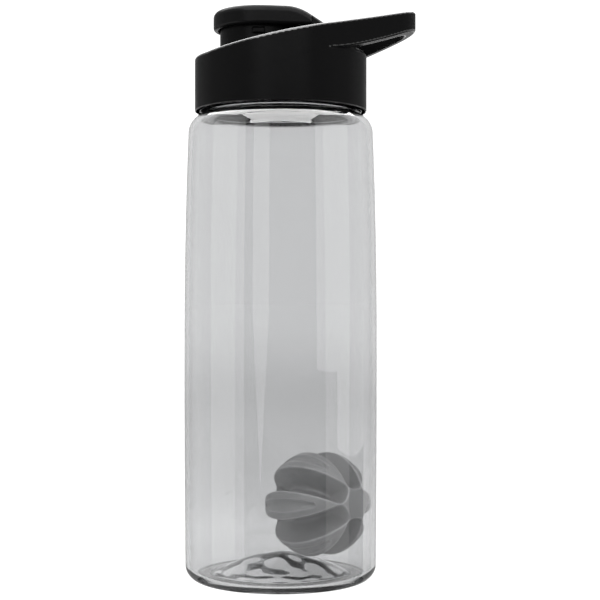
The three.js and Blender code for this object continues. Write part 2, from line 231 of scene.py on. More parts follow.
def make_piece(name, points, faces, finish, body, nodes, normals=None, edges=None):
    """One visible piece: its mesh, its material and its place in the frame."""
    points = np.asarray(points, float) * MM + np.array([AXIS_X, 0, 0])
    mesh = bpy.data.meshes.new(name)
    mesh.from_pydata(points.tolist(), [], faces)
    mesh.polygons.foreach_set("use_smooth", np.ones(len(mesh.polygons), bool))
    if normals is not None:
        mesh.normals_split_custom_set_from_vertices(normals.tolist())
    if edges is not None:
        mesh.attributes.new("edge", "FLOAT", "POINT").data.foreach_set("value", edges)
    mesh.materials.append(finish.material)
    mesh.update()
    piece = bpy.data.objects.new(name, mesh)
    bpy.context.scene.collection.objects.link(piece)
    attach(piece, body)
    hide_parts(*nodes)
    size = (points.max(0) - points.min(0)) / MM
    print(name, len(mesh.polygons), "faces,", np.round(size, 1), "mm")
    return piece


# %% [markdown]
# ## Turned shapes
#
# The bottle, its sealing ring, the plug and the pin are turned shapes. Blender's Screw modifier
# could spin a profile, but the neck's thread has to change the radius as it goes round, so we spin
# the profile in code: rings of points, with an optional function that pushes each point outwards.

# %% Spin a profile
ON_AXIS = 1e-9


def turned(profile, around, push=None):
    """A closed [radius, height] profile spun about Z. Points on the axis are shared."""
    profile = np.asarray(profile, float)
    angles = np.arange(around) * 2 * math.pi / around
    r = np.repeat(profile[:, :1], around, 1)
    z = np.repeat(profile[:, 1:], around, 1)
    if push is not None:
        r = r + push(r, z, angles[None, :])
    ring = np.stack([r * np.cos(angles), r * np.sin(angles), z], -1)
    points, index, count = [], [], 0
    for row, (radius, height) in zip(ring, profile):
        if radius < ON_AXIS:
            points.append([[0, 0, height]])
            index.append(np.full(around, count))
            count += 1
        else:
            points.append(row)
            index.append(np.arange(around) + count)
            count += around
    faces = []
    ends_on_axis = profile[0, 0] < ON_AXIS and profile[-1, 0] < ON_AXIS
    pairs = zip(index[:-1], index[1:]) if ends_on_axis else zip(index, index[1:] + index[:1])
    for lower, upper in pairs:
        ahead = np.roll(lower, -1)
        above = np.roll(upper, -1)
        for quad in zip(lower, ahead, above, upper):
            corners = list(dict.fromkeys(int(c) for c in quad))
            if len(corners) > 2:
                faces.append(corners)
    return np.concatenate(points), faces


def arc(centre_r, centre_z, radius, start, end, steps):
    """Points along an arc in the profile's plane, with angles in degrees."""
    angles = np.radians(np.linspace(start, end, steps + 1))
    r = centre_r + radius * np.cos(angles)
    return np.stack([r, centre_z + radius * np.sin(angles)], -1)


print("a quarter round of 2 mm:", np.round(arc(0, 0, 2, 0, 90, 2), 2).tolist())

# %% [markdown]
# ## The bottle's shape
#
# The real bottle is blown from a clear copolyester: slightly barrel shaped, with a tight round
# shoulder, a neck with one screw ridge, and a base pushed up into a dome so that it stands on a
# ring. Clear plastic shows both its faces, so the profile has an outside and an inside, and the
# distance between them is the real wall. The rings in the foot are steps that the mould leaves.

# %% Bottle sizes
WALL = 1.8
FLOOR = 1.9
NECK_WALL = 2.4
NECK_OUTER = 28.8
SHOULDER_HEIGHT = 183.4
SHOULDER_ROUND = 8.2
WIDEST_HEIGHT = 95.0
FOOT_TAPER = 0.4
SHOULDER_TAPER = 1.9
FOOT_RADIUS = bottle_high.y - 5.7
DOME_FOOT = FOOT_RADIUS - 5.4
HEEL_HEIGHT = 6.0
DOME_RISE = 8.5
DOME_CURVE = 1.5  # 2 would be a parabola, 1 a cone
DOME_STEPS = 120
MOULD_RINGS = 6.5
MOULD_RING_HEIGHT = 0.16
NECK_TOP = bottle_high.z


def body_radius(z):
    """The slightly barrel-shaped outside of the body."""
    below = z < WIDEST_HEIGHT
    span = np.where(below, WIDEST_HEIGHT, SHOULDER_HEIGHT - WIDEST_HEIGHT)
    taper = np.where(below, FOOT_TAPER, SHOULDER_TAPER)
    return bottle_high.y - taper * ((z - WIDEST_HEIGHT) / span) ** 2


middle_radius = float(body_radius(WIDEST_HEIGHT))
print("widest", round(2 * middle_radius, 1), "mm across, at height", WIDEST_HEIGHT)

# %% [markdown]
# ## The profile, stretch by stretch
#
# Each stretch of the profile is a small function that gives points of radius and height. All but
# the dome take an inset, so that the same function draws the outside of the wall and, moved in by
# the wall's thickness, its inside. A Bezier curve drawn by hand could not keep the two parallel.

# %% Dome, heel, wall and shoulder


def dome(reach, lift, rings=0.0):
    """The pushed-up base, from its middle to its foot, with mould rings if asked."""
    share = np.linspace(0, 1, DOME_STEPS)
    wave = np.sin(share * 2 * math.pi * MOULD_RINGS) * np.clip((share - 0.55) / 0.3, 0, 1)
    ripple = rings * wave * np.clip((1 - share) / 0.1, 0, 1)
    return np.stack([reach * share, lift + DOME_RISE * (1 - share**DOME_CURVE) + ripple], -1)


def heel(foot_radius, foot_z, inset, steps=20):
    """The round corner between the ring it stands on and the wall."""
    angle = np.linspace(0, math.pi / 2, steps + 1)
    wall = float(body_radius(HEEL_HEIGHT)) - inset
    r = foot_radius + (wall - foot_radius) * np.sin(angle)
    z = foot_z + (HEEL_HEIGHT - foot_z) * (1 - np.cos(angle))
    return np.stack([r, z], -1)


def shoulder(inset):
    """The round shoulder, from the wall to the level ring at the neck's foot."""
    wall = float(body_radius(SHOULDER_HEIGHT - SHOULDER_ROUND)) - inset
    round_off = SHOULDER_ROUND - inset
    return arc(wall - round_off, SHOULDER_HEIGHT - inset - round_off, round_off, 0, 90, 24)


def body_wall(inset):
    """The wall between the heel and the shoulder."""
    z = np.linspace(HEEL_HEIGHT, SHOULDER_HEIGHT - SHOULDER_ROUND, 90)[1:-1]
    return np.stack([body_radius(z) - inset, z], -1)


print("dome", round(DOME_FOOT, 1), "mm in radius, shoulder of", len(shoulder(0.0)), "points")

# %% [markdown]
# ## The neck and the whole profile
#
# The neck stands on the shoulder with a small hollow round at its foot and a round lip on top. Now
# the stretches are strung together: up the outside from the middle of the dome to the lip, and
# back down the inside.

# %% Whole profile
NECK_LIP = 0.7
NECK_FOOT_ROUND = 0.9
NECK_RINGS = 44
neck_inner = NECK_OUTER - NECK_WALL


def neck_foot(radius, height):
    """The hollow round where the neck rises from the shoulder."""
    centre_r, centre_z = radius + NECK_FOOT_ROUND, height + NECK_FOOT_ROUND
    return arc(centre_r, centre_z, NECK_FOOT_ROUND, 270, 180, 6)


def neck_wall():
    """The neck's outside, with its rings close enough together to carry the thread."""
    z = np.linspace(SHOULDER_HEIGHT + 1.3, NECK_TOP - NECK_LIP - 0.3, NECK_RINGS)
    return np.stack([np.full(NECK_RINGS, NECK_OUTER), z], -1)


outside = np.concatenate([
    dome(DOME_FOOT, 0.0, MOULD_RING_HEIGHT),
    heel(FOOT_RADIUS, 0.0, 0.0),
    body_wall(0.0),
    shoulder(0.0),
    neck_foot(NECK_OUTER, SHOULDER_HEIGHT),
    neck_wall(),
    arc(NECK_OUTER - NECK_LIP, NECK_TOP - NECK_LIP, NECK_LIP, 0, 90, 6),
])
inside = np.concatenate([
    dome(DOME_FOOT + FLOOR / 2, FLOOR),
    heel(FOOT_RADIUS - FLOOR, FLOOR, WALL),
    body_wall(WALL),
    shoulder(WALL),
    neck_foot(neck_inner, SHOULDER_HEIGHT - WALL),
    arc(neck_inner + NECK_LIP, NECK_TOP - NECK_LIP, NECK_LIP, 180, 90, 6),
])
bottle_profile = np.concatenate([outside, inside[::-1]])
print("bottle profile has", len(bottle_profile), "points")

# %% [markdown]
# ## The screw thread
#
# The screw ridge climbs the neck as a helix. Seen in the profile it is a round bump whose height
# above the shoulder depends on the angle, so it is exactly what the `push` function is for. Its
# two ends sink smoothly into the neck, as they do in the mould. A swept tube joined on with a
# Boolean would do too, but it would leave a seam in a see-through wall.

# %% The thread
THREAD_PITCH = 6.0
THREAD_RIDGE = 1.9
THREAD_TURNS = 1.2
THREAD_START = 189.1
THREAD_FADE = 0.04  # of a turn
AROUND = 240


def helix_ridge(z, angle, start):
    """How far a screw ridge stands out at a height and an angle."""
    lift = np.zeros(np.broadcast(z, angle).shape)
    for turn in range(3):
        so_far = angle / (2 * math.pi) + turn
        middle = start + THREAD_PITCH * so_far
        ends = np.clip(np.minimum(so_far, THREAD_TURNS - so_far) / THREAD_FADE, 0, 1)
        reach = THREAD_RIDGE * np.sqrt(np.clip(ends * (2 - ends), 0, 1))
        inside_round = np.clip(reach**2 - (z - middle) ** 2, 0, None)
        lift = np.maximum(lift, np.sqrt(inside_round))
    return lift


def neck_thread(r, z, angle):
    """Pushes out the points of the neck's outside only."""
    on_neck = (np.abs(r - NECK_OUTER) < 1e-6) & (z > SHOULDER_HEIGHT + 1)
    return np.where(on_neck, helix_ridge(z, angle, THREAD_START), 0.0)


bottle_points, bottle_faces = turned(bottle_profile, AROUND, neck_thread)
print("bottle mesh:", len(bottle_points), "points")

# %% [markdown]
# ## Waves in the base
#
# The plastic is thickest in the middle of the base, where the mould leaves it wavy and the light
# bends into dark and bright shapes. A few crossing sine waves, pressed into the dome's underside
# only, do the same. They die out towards the foot, so the bottle still stands on a flat ring. A
# bump in the material would be less work, but waves this deep are shape, and the mesh should have
# them.

# %% Flow waves under the dome
WAVES = [(0.3, 13), (1.4, 17), (2.3, 11), (2.9, 15), (0.9, 9)]  # direction, length in mm
WAVE_HEIGHT = 0.3
FLAT_RIM = 6.0


def flow_waves(x, y):
    """How far the dome's underside is pushed up or down at a place, in millimetres."""
    swell = 0
    for way, length in WAVES:
        along = x * math.cos(way) + y * math.sin(way)
        swell = swell + np.sin(along * 2 * math.pi / length + 7 * way)
    inwards = np.clip((DOME_FOOT - np.hypot(x, y)) / FLAT_RIM, 0, 1)
    return WAVE_HEIGHT * swell * inwards**2 * (3 - 2 * inwards)


under_dome = 1 + (DOME_STEPS - 1) * AROUND
dome_x, dome_y = bottle_points[:under_dome, 0], bottle_points[:under_dome, 1]
bottle_points[:under_dome, 2] += flow_waves(dome_x, dome_y)
print("lowest point under the dome:", round(bottle_points[:under_dome, 2].min(), 3), "mm")

# %% [markdown]
# ## Clear smoke-grey plastic
#
# The body is see-through, so light passes four surfaces on its way across. A Glass shader would be
# one way to make it; the Principled shader with full transmission does the same and keeps a tint.
# A thin wall looks nearly clear face on and dark edge on, so the grey is given twice: a light tint
# in the base colour for each surface, and an absorber inside the wall that darkens long paths.
#
# The ring that the bottle stands on gets a painted contact shadow: its colour goes nearly black in
# the lowest half millimetre, where it touches the floor. Blow moulding leaves long, faint waves up
# the wall, and the foot picks up fine scuffs that dull it, so bump and roughness get a little of
# each.

# %% Clear plastic
DARK_PER_METRE = 58.0
clear = Finish("clear_smoke_plastic", IOR=1.54, Transmission_Weight=1.0)
streaks = clear.noise(14, detail=1, where=clear.stretched(1, 1, 0.12))
clouds = clear.noise(30, detail=2)
tint = clear.mix(clouds, (0.715, 0.718, 0.722), (0.745, 0.748, 0.752))
# Painted contact shadow: the base colour fades to nearly black at the ring that touches the floor.
painted_contact_shadow = clear.fade(clear.height(), 0.15, 0.6, 1.0, 0.0)
clear.feed("Base Color", clear.mix(painted_contact_shadow, tint, (0.004, 0.004, 0.004)))
absorber = {"Color": (0.0, 0.01, 0.02, 1), "Density": DARK_PER_METRE}
inside_wall = clear.node("ShaderNodeVolumeAbsorption", None, absorber)
clear.join(clear.output.inputs["Volume"], inside_wall)
scuffs = clear.noise(0.8, detail=4) * clear.fade(clear.height(), 0.5, 7, 0.12, 0.0)
clear.feed("Roughness", 0.012 + scuffs + clouds * 0.01)
clear.bump(streaks, 0.0125)

bottle = make_piece(
    "bottle_clear", bottle_points, bottle_faces, clear, "bottle", ["bottle"]
)
# A see-through wall throws almost no shadow, but the renderer would give it a solid one.
bottle.visible_shadow = False
bottle.visible_diffuse = False

# %% [markdown]
# ## Solids from a distance field
#
# The lid is one moulding in which a ring, a sloping deck, a spout, hinge ears and a carry loop
# run into each other with small fillets everywhere. Cutting meshes with Boolean modifiers would
# leave hard creases that are hard to round afterwards. So we describe the lid as a distance
# field instead: a function that gives, for any point in space, how far it is from the surface,
# less than zero inside. Joining two fields with a rounded blend makes a fillet; meeting them
# with a rounded blend makes a rounded edge.

# %% Rounded joins and cuts


def join(a, b, fillet):
    """Two solids as one, with a fillet of that radius where they meet."""
    fill = np.hypot(np.maximum(fillet - a, 0), np.maximum(fillet - b, 0))
    return np.maximum(fillet, np.minimum(a, b)) - fill


def meet(a, b, edge):
    """What two solids share, with its edge rounded to that radius."""
    fill = np.hypot(np.maximum(a + edge, 0), np.maximum(b + edge, 0))
    return np.minimum(-edge, np.maximum(a, b)) + fill


def cut(a, b, edge):
    """A solid with another taken out of it."""
    return meet(a, -b, edge)


off_corner = float(meet(0.0, 0.0, 2.0))
print("an edge 2 mm round takes", round(off_corner, 2), "mm off a square corner")

# %% [markdown]
# ## What a field tells about its surface
#
# The gradient of a distance field points straight out of the surface, which gives an exact normal
# for shading and a way to slide a point onto the surface. How far the field bends away from a
# plane tells how tightly the surface curves, which the finishes use to find the edges that wear.

# %% Slope and sharpness


def slope(field, points, reach=0.02):
    """The field's value and its gradient at some points."""
    gradient = np.empty_like(points)
    for axis in range(3):
        ahead, behind = points.copy(), points.copy()
        ahead[:, axis] += reach
        behind[:, axis] -= reach
        gradient[:, axis] = (field(*ahead.T) - field(*behind.T)) / (2 * reach)
    return field(*points.T), gradient


def sharpness(field, points, reach=0.3):
    """How tightly the surface curves outwards: about 0 on a wall, 1 on an edge 1 mm round."""
    total = -6 * field(*points.T)
    for axis in range(3):
        for way in (-reach, reach):
            moved = points.copy()
            moved[:, axis] += way
            total = total + field(*moved.T)
    return np.clip(total / reach**2, 0, 1)


_, rod_slope = slope(lambda x, y, z: np.hypot(x, y) - 5, np.array([[5.0, 0.0, 0.0]]))
print("a rod's slope on its surface:", np.round(rod_slope[0], 3).tolist())

# %% [markdown]
# ## From a field to a mesh
#
# To turn a field into a mesh we sample it on a grid and use the surface net method: each grid
# cell that the surface passes through gets one point, in the middle of its crossings, and every
# grid edge that crosses the surface gets one four-sided face. Marching cubes would work too, but
# it makes long thin triangles. Afterwards each point is slid along the slope of the field onto
# the true surface.

# %% Surface net


def surface_net(field, low, high, step):
    """A quad mesh of the surface where the field is zero, with a normal for every point."""
    low, high = np.asarray(low, float) - 2 * step, np.asarray(high, float) + 2 * step
    shape = np.ceil((high - low) / step).astype(int) + 1
    x, y, z = (low[i] + step * np.arange(shape[i]) for i in range(3))
    samples = np.empty(shape, np.float32)
    for i in range(shape[0]):
        samples[i] = field(x[i], y[:, None], z[None, :])
    cells = shape - 1
    strides = np.array([cells[1] * cells[2], cells[2], 1])
    rings = []
    total = np.zeros((int(np.prod(cells)), 3), np.float32)
    hits = np.zeros(int(np.prod(cells)), np.int32)
    for axis in range(3):
        near = np.take(samples, range(shape[axis] - 1), axis)
        far = np.take(samples, range(1, shape[axis]), axis)
        at = np.argwhere((near < 0) != (far < 0))
        value_near, value_far = near[tuple(at.T)], far[tuple(at.T)]
        crossing = at.astype(np.float32)
        crossing[:, axis] += value_near / (value_near - value_far)
        b, c = (axis + 1) % 3, (axis + 2) % 3
        ring = []
        for db, dc in ((0, 0), (1, 0), (1, 1), (0, 1)):
            cell = at.copy()
            cell[:, b] -= db
            cell[:, c] -= dc
            number = cell @ strides
            np.add.at(total, number, crossing)
            np.add.at(hits, number, 1)
            ring.append(number)
        ring = np.stack(ring, -1)
        flip = value_near > 0
        ring[flip] = ring[flip][:, ::-1]
        rings.append(ring)
    used = np.flatnonzero(hits)
    renumber = np.zeros(len(hits), np.int64)
    renumber[used] = np.arange(len(used))
    points = low + step * (total[used] / hits[used, None])
    for _ in range(3):
        value, gradient = slope(field, points)
        length = np.maximum((gradient**2).sum(1), 0.25)
        move = (value / length)[:, None] * gradient
        points = points - np.clip(move, -0.4 * step, 0.4 * step)
    _, gradient = slope(field, points)
    normals = gradient / np.maximum(np.linalg.norm(gradient, axis=1), 1e-9)[:, None]
    return points, renumber[np.concatenate(rings)].tolist(), normals


print("surface net ready")

# %% [markdown]
# ## The lid
#
# The lid is a deep ring round the neck, closed by a deck that slopes up towards the hinge. A
# band runs round its rim, level in front, then climbs into the carry loop. The spout stands on
# the deck in front of the middle, with a small bump on each side for the flip cap to snap over,
# and two ears behind it hold the hinge pin.

# %% Lid sizes
CLEARANCE = 0.3
LID_RADIUS = lid_high.y
SKIRT_INNER = LID_RADIUS - 2.3
SKIRT_BOTTOM = lid_low.z
LID_UNDERSIDE = gasket_high.z + CLEARANCE
DECK_FRONT = LID_UNDERSIDE + 2.7
DECK_RISE = 4.4
RIM_WIDTH = 4.6
RIM_FRONT = DECK_FRONT + 1.8
LOOP_REACH = lid_high.x
LOOP_TOP = lid_high.z
TIP_RADIUS = 13.0
TIP_THICKNESS = 7.6
SPOUT_X = (seal_low.x + seal_high.x) / 2
SPOUT_RADIUS = seal_high.y + CLEARANCE
SPOUT_BORE = SPOUT_RADIUS - 2.2
SPOUT_TOP = DECK_FRONT + 16.5
CAP_BOTTOM = SPOUT_TOP - 3.8
HINGE_X = (pin_low.x + pin_high.x) / 2
HINGE_Z = (pin_low.z + pin_high.z) / 2
PIN_RADIUS = (pin_high.z - pin_low.z) / 2
EAR_RADIUS = PIN_RADIUS + 2.1
EAR_OUTER = pin_high.y + CLEARANCE
EAR_WIDTH = 3.0
PIN_PLAY = 0.15
SNAP_HALF_LENGTH = 2.3
SNAP_HALF_HEIGHT = 1.0
SNAP_REACH = 0.5
SNAP_BELOW_CAP = 2.2
SEALING_LIP = 1.8
SEALING_LIP_DEPTH = 3.3
print("deck", round(DECK_FRONT, 2), "spout top", round(SPOUT_TOP, 2))

# %% [markdown]
# ## The band's side curves
#
# Seen from the side, the band's upper and lower edges are two gentle curves. Each is a quadratic
# Bezier curve, which we turn round into "height at a given X" by solving for the curve's own
# parameter. A curve object with a bevel could follow the same line, but a field needs a formula.

# %% Side curves of the band


def curve_height(x, start, control, end):
    """Height at X of a quadratic Bezier curve, level before its start."""
    a = start[0] - 2 * control[0] + end[0]
    b = control[0] - start[0]
    c = start[0] - np.clip(x, start[0], None)
    t = c * -1 / (b + np.sqrt(np.maximum(b * b - a * c, 0)))
    return (1 - t) ** 2 * start[1] + 2 * t * (1 - t) * control[1] + t**2 * end[1]


def control_point(start, end, first_share, last_share):
    """Where the curve's handle lies when its end slopes are shares of its average slope."""
    average = (end[1] - start[1]) / (end[0] - start[0])
    run = (end[0] - start[0]) * (last_share - 1) / (last_share - first_share)
    return start[0] + run, start[1] + average * first_share * run


def deck_height(x):
    """Height of the sloping deck at X."""
    return DECK_FRONT + DECK_RISE * (x + LID_RADIUS) / (2 * LID_RADIUS)


ROOT_X = LID_RADIUS - 13.9
top_start = (5.9 - LID_RADIUS, RIM_FRONT)
top_end = (LOOP_REACH, LOOP_TOP)
top_handle = control_point(top_start, top_end, 0.7, 1.2)
under_start = (ROOT_X, deck_height(ROOT_X) - 1.6)
under_end = (LOOP_REACH, LOOP_TOP - TIP_THICKNESS)
under_handle = control_point(under_start, under_end, 0.4, 1.3)


def band_top(x):
    """Height of the band's upper edge at X."""
    return curve_height(x, top_start, top_handle, top_end)


def band_under(x):
    """Height of the band's lower edge at X. In front of the loop's root it sinks into the skirt."""
    before = np.minimum(x - ROOT_X, 0) * 0.35
    return curve_height(x, under_start, under_handle, under_end) + before


print("band top at the axis:", round(float(band_top(np.float64(0))), 2))

# %% [markdown]
# ## The loop's outline and the inside thread
#
# Seen from above, the carry loop is the outline of two circles, a large one round the neck and a
# small one at the tip, with the two straight lines that touch both. The skirt's own screw ridge is
# the set of places near a helix on its inner wall, half a pitch below the neck's ridge.

# %% Loop outline and inside thread


def two_circles(x, y, big, small, apart):
    """Distance to the outline round two circles whose centres are apart along X."""
    y = np.abs(y)
    lean = (big - small) / apart
    side = math.sqrt(1 - lean * lean)
    along = side * x - lean * y
    # along < 0 is nearest the big circle, along > side * apart nearest the small one
    straight = lean * x + side * y - big
    near_big = np.hypot(x, y) - big
    near_small = np.hypot(x - apart, y) - small
    return np.where(along < 0, near_big, np.where(along > side * apart, near_small, straight))


def thread_inside(x, y, z, r):
    """The skirt's own screw ridge, standing inwards from its wall."""
    angle = np.mod(np.arctan2(y, x), 2 * math.pi)
    nearest = np.full(np.broadcast(r, z).shape, 9.0)
    start = THREAD_START - THREAD_PITCH / 2
    for turn in range(2):
        so_far = angle / (2 * math.pi) + turn
        past = np.maximum(-so_far, so_far - THREAD_TURNS) * 2 * math.pi * SKIRT_INNER
        middle = start + THREAD_PITCH * np.clip(so_far, 0, THREAD_TURNS)
        away = np.sqrt((r - SKIRT_INNER) ** 2 + (z - middle) ** 2 + np.maximum(past, 0) ** 2)
        nearest = np.minimum(nearest, away - THREAD_RIDGE)
    return nearest


tip = float(two_circles(LOOP_REACH, 0.0, LID_RADIUS, TIP_RADIUS, LOOP_REACH - TIP_RADIUS))
print("the outline passes the loop's tip at", round(tip, 3), "mm")

# %% [markdown]
# ## The lid as one field
#
# The pieces are joined on in the order in which a pattern maker would: collar and band, then the
# spout, the ears and the snap bumps, and last what is hollow: the bore, the room for the neck with
# its sealing lip and thread, and the pin's hole.
#
# A height above a slope is a little more than the distance to it, so the sloping faces are scaled
# by the cosine of their slope, which keeps the fillets true.

# %% The lid as a field
DECK_COSINE = 0.998
TOP_COSINE = 0.975
UNDER_COSINE = 0.96
LOOP_ROOT_X = 19.0


def collar_and_band(x, y, z, r):
    """The closed collar, and the band that climbs from its rim into the loop."""
    deck = (z - deck_height(x)) * DECK_COSINE
    collar = meet(meet(r - LID_RADIUS, deck, 2.2), SKIRT_BOTTOM - z, 0.35)
    outline = two_circles(x, y, LID_RADIUS, TIP_RADIUS, LOOP_REACH - TIP_RADIUS)
    ring = np.maximum(outline, -(outline + RIM_WIDTH))
    top = (z - band_top(x)) * TOP_COSINE
    under = (band_under(x) - z) * UNDER_COSINE
    band = meet(meet(ring, top, 0.8), under, 0.7)
    # the band is flush with the collar outside, so they are filleted only inside and at the loop
    inner_side = np.clip(LID_RADIUS - 1.5 - r, 0, 0.6)
    loop_root = 1.4 * np.clip((x - LOOP_ROOT_X) / 8, 0, 1)
    return join(collar, band, 0.02 + np.maximum(inner_side, loop_root))


def with_spout_and_ears(solid, x, y, z):
    """Adds the spout, the two hinge ears and the two bumps that the cap snaps over."""
    side = np.abs(y)
    spout = meet(np.hypot(x - SPOUT_X, y) - SPOUT_RADIUS, z - SPOUT_TOP, 0.7)
    solid = join(solid, np.maximum(spout, LID_UNDERSIDE + 1 - z), 0.9)
    ear = np.hypot(x - HINGE_X, np.maximum(z - HINGE_Z, 0)) - EAR_RADIUS
    ear = meet(ear, np.abs(side - (EAR_OUTER - EAR_WIDTH / 2)) - EAR_WIDTH / 2, 0.4)
    solid = join(solid, np.maximum(ear, LID_UNDERSIDE + 1 - z), 0.6)
    bump_middle = CAP_BOTTOM - SNAP_BELOW_CAP
    bump = np.abs(z - bump_middle) - SNAP_HALF_HEIGHT
    bump = np.maximum(np.abs(x - SPOUT_X) - SNAP_HALF_LENGTH, bump)
    bump = meet(bump, side - SPOUT_RADIUS - SNAP_REACH, 0.3)
    return join(solid, np.maximum(bump, SPOUT_BORE + 1 - side), 0.3)


def lid_field(x, y, z):
    """Distance to the lid's surface, less than zero inside the plastic."""
    r = np.hypot(x, y)
    solid = with_spout_and_ears(collar_and_band(x, y, z, r), x, y, z)
    solid = cut(solid, np.hypot(x - SPOUT_X, y) - SPOUT_BORE, 0.6)
    solid = cut(solid, meet(r - SKIRT_INNER, z - LID_UNDERSIDE, 0.5), 0.35)
    lip = np.abs(r - (neck_inner - CLEARANCE - SEALING_LIP / 2)) - SEALING_LIP / 2
    lip = meet(lip, LID_UNDERSIDE - SEALING_LIP_DEPTH - z, 0.4)
    solid = join(solid, np.maximum(lip, z - LID_UNDERSIDE - 1), 0.5)
    thread = np.maximum(thread_inside(x, y, z, r), r - SKIRT_INNER - 1)
    solid = join(solid, thread, 0.3)
    pin_hole = np.hypot(x - HINGE_X, z - HINGE_Z) - PIN_RADIUS - PIN_PLAY
    pin_hole = np.maximum(pin_hole, np.abs(y) - EAR_OUTER - CLEARANCE)
    return cut(solid, pin_hole, 0.2)


skirt_middle = (LID_RADIUS + SKIRT_INNER) / 2
depth = float(lid_field(0.0, -skirt_middle, SKIRT_BOTTOM + 2))
print("the middle of the skirt's wall lies", round(-depth, 2), "mm deep")

# %% [markdown]
# ## Satin black plastic
#
# The lid and its cap are moulded in the same black polypropylene. It is not quite black: a low
# sheen lifts the faces that look towards a light. The mould's spark-eroded texture is a grain of
# a third of a millimetre, far finer than the eye resolves at arm's length, but it is what
# spreads the highlight. Handling varies the sheen slowly from place to place.
#
# Hands polish the outer edges first. We could paint that by hand, but the field already knows
# where the edges are, so the attribute "edge" raises a thin clear coat there. The spout's own rim
# is under the cap, where no hand reaches, and stays dull.

# %% Black plastic


def black_plastic(name, shade, polish):
    """Satin black of a given shade, with its edges polished as much as asked, 0 to 1."""
    finish = Finish(name, IOR=1.46, Specular_IOR_Level=0.02, Coat_Roughness=0.2, Coat_IOR=1.5)
    grain = finish.noise(0.35, detail=3, roughness=0.6)
    handling = finish.noise(11, detail=2)
    dust = finish.noise(3.0, detail=4)
    dark = tuple(shade * v for v in (0.98, 0.98, 1.02))
    light = tuple(1.5 * shade * v for v in (0.98, 0.98, 1.02))
    finish.feed("Base Color", finish.mix(handling * 0.6 + dust * 0.4, dark, light))
    finish.feed("Roughness", 0.24 + handling * 0.08 + grain * 0.06)
    rubbed = finish.node("ShaderNodeAttribute", {"attribute_name": "edge"}, output="Fac")
    finish.feed("Coat Weight", finish.fade(rubbed, 0.25, 0.8, 0.0, polish) * (1 - dust * 0.3))
    finish.bump(grain, 0.03, 0.35)
    return finish


lid_black = black_plastic("satin_black_lid", 0.0026, 1.0)
LID_GRID = 0.5
lid_points, lid_faces, lid_normals = surface_net(lid_field, lid_low, lid_high, LID_GRID)
from_spout_axis = np.hypot(lid_points[:, 0] - SPOUT_X, lid_points[:, 1])
in_reach = from_spout_axis > SPOUT_RADIUS + 1.5
rubbed_edges = sharpness(lid_field, lid_points) * in_reach
print("share of the lid that is edge:", round(float((rubbed_edges > 0.5).mean()), 3))
make_piece(
    "lid_moulding", lid_points, lid_faces, lid_black, "lid", ["lid"], lid_normals,
    rubbed_edges,
)

# %% [markdown]
# ## The flip cap
#
# From above, the cap is round in front and narrows straight back to the hinge. From the side its
# top is level and slightly crowned, then slopes down behind to wrap round the pin. It is hollow,
# and its skirt comes a few millimetres down over the spout.

# %% The cap seen from the side
CAP_RADIUS = cap_high.y
CAP_TOP = cap_high.z
CAP_WALL = 1.8
CAP_ROOF = 2.0
CAP_EDGE = 2.4
CAP_GRID = 0.4
KNUCKLE = HINGE_Z - cap_low.z
REAR_HALF_WIDTH = EAR_OUTER - EAR_WIDTH - CLEARANCE
REAR_SLOPE = math.radians(32)
BEND = 5.0
CROWN = 0.35
slope_end = np.array([
    HINGE_X + KNUCKLE * math.sin(REAR_SLOPE), HINGE_Z + KNUCKLE * math.cos(REAR_SLOPE)
])
bend_at = np.array([slope_end[0] - (CAP_TOP - slope_end[1]) / math.tan(REAR_SLOPE), CAP_TOP])
bend_first = bend_at + BEND * np.array([-1, 0])
bend_last = bend_at + BEND * np.array([math.cos(REAR_SLOPE), -math.sin(REAR_SLOPE)])
t = np.linspace(0, 1, 9)[:, None]
bend_curve = (1 - t) ** 2 * bend_first + 2 * t * (1 - t) * bend_at + t**2 * bend_last
knuckle_curve = arc(HINGE_X, HINGE_Z, KNUCKLE, 90 - math.degrees(REAR_SLOPE), -90, 24)
far_front = SPOUT_X - CAP_RADIUS - 5
cap_side = np.concatenate([
    [[far_front, HINGE_Z - KNUCKLE], [far_front, CAP_TOP]], bend_curve, knuckle_curve
])
print("cap side view has", len(cap_side), "corners")

# %% [markdown]
# ## The cap as one field
#
# The side view is a closed outline, and the distance to an outline is the distance to its nearest
# edge. Meeting that with the plan view by a wide rounded edge gives the soft rim that a thumb
# pushes on. An extruded curve with a bevel would be simpler, but it could not round the edges
# where the plan view and the side view cross.

# %% The cap as a field


def outline_distance(x, z, corners):
    """Distance to a closed outline in the side view, less than zero inside."""
    nearest, inside = np.inf, False
    for (x0, z0), (x1, z1) in zip(corners, np.roll(corners, -1, 0)):
        run, rise = x1 - x0, z1 - z0
        share = np.clip(((x - x0) * run + (z - z0) * rise) / (run**2 + rise**2), 0, 1)
        nearest = np.minimum(nearest, np.hypot(x - x0 - share * run, z - z0 - share * rise))
        if rise:
            inside = inside ^ (((z0 > z) != (z1 > z)) & (x < x0 + run * (z - z0) / rise))
    return np.where(inside, -nearest, nearest)


